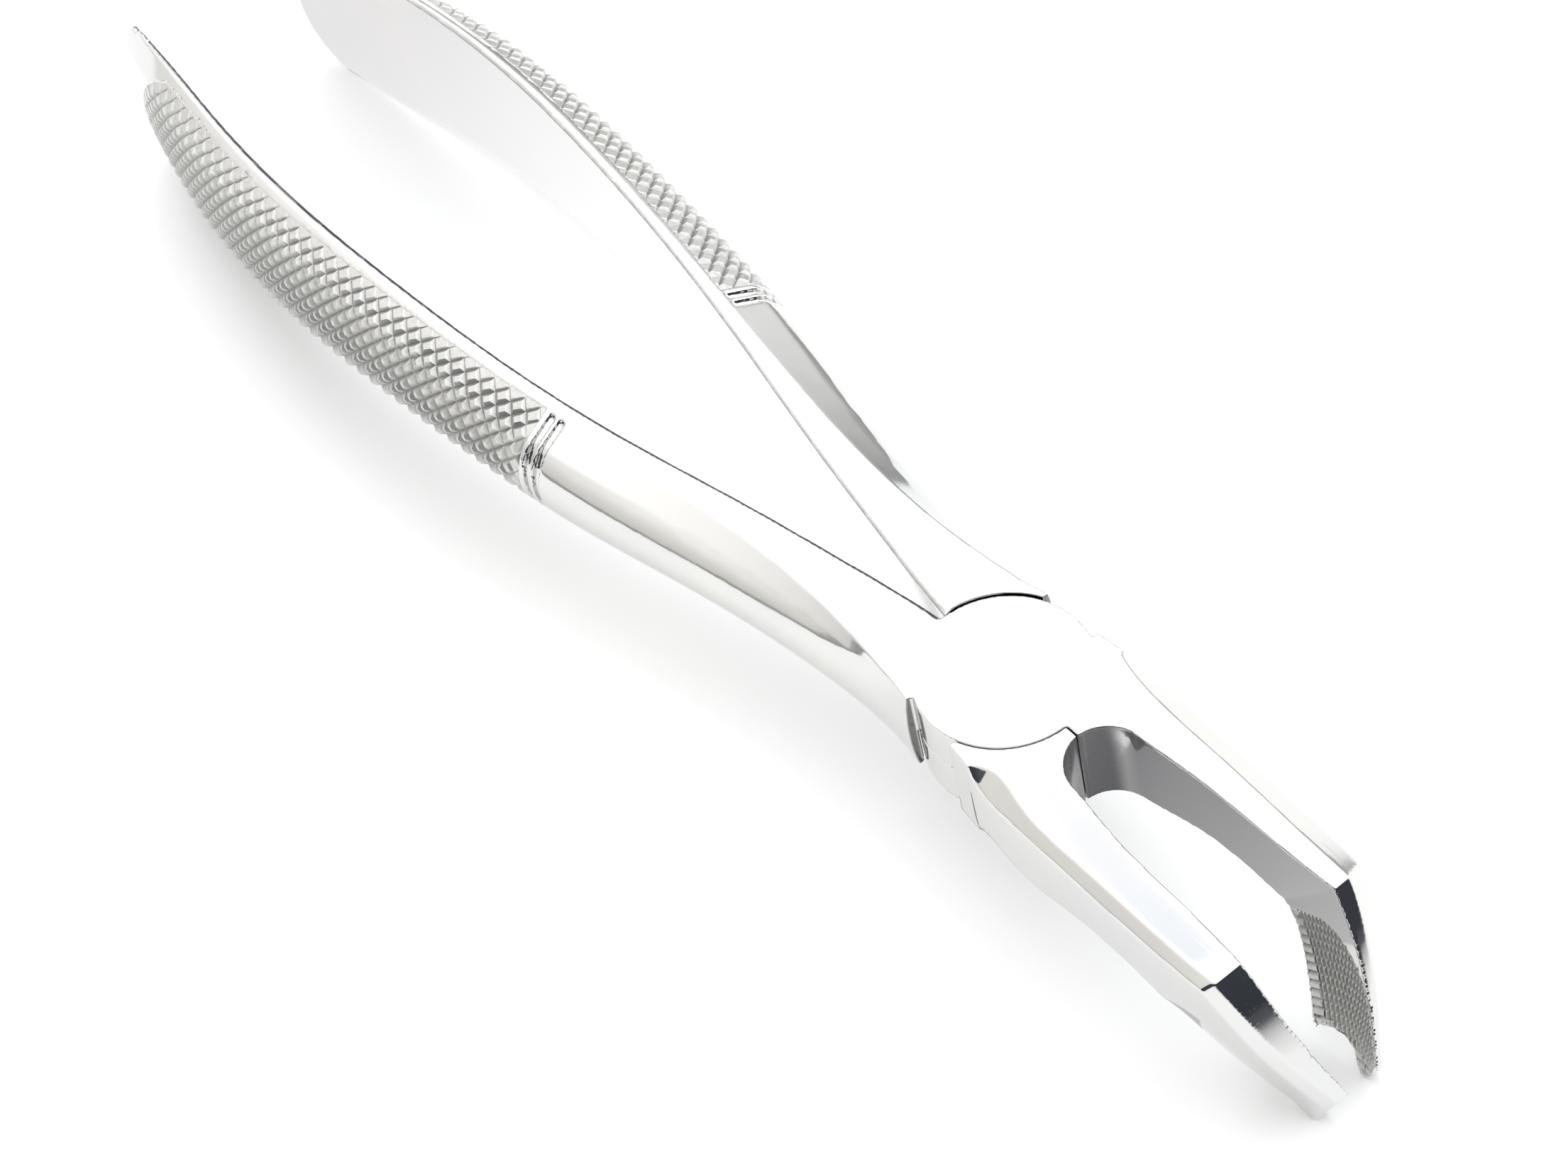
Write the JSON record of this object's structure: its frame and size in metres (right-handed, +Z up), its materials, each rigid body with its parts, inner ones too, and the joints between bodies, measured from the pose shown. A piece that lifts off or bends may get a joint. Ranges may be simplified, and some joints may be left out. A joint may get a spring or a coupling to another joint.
{
  "type": "extraction forceps",
  "caption": "Dental extraction forceps: two steel halves crossing at a lap joint, curved knurled grips that droop at the ends, and hollow serrated beaks bent sharply down.",
  "frame": {"origin": "on the table, under the middle of the closed forceps' bounding box", "axes": "+X runs from the grips to the beaks, +Z up along the rivet, +Y from the middle line to the half whose grip carries the lower lap face; the beaks point down"},
  "size_m": [0.174, 0.0364, 0.0204],
  "materials": {
    "polished_steel": "mirror-polished stainless steel with faint grinding lines; satin in the knurl and the beak serrations",
    "rivet_steel": "polished stainless steel, ground flush with the joint"
  },
  "bodies": {
    "lower": {"lower_half": "polished_steel"},
    "upper": {"upper_half": "polished_steel", "pivot_rivet": "rivet_steel"}
  },
  "joints": [
    {"name": "jaw_pivot", "type": "hinge", "parent": "lower", "child": "upper", "pos_m": [0.0445, 0, 0.0153], "axis": [0, 0, 1], "range_deg": [0, 40]}
  ]
}
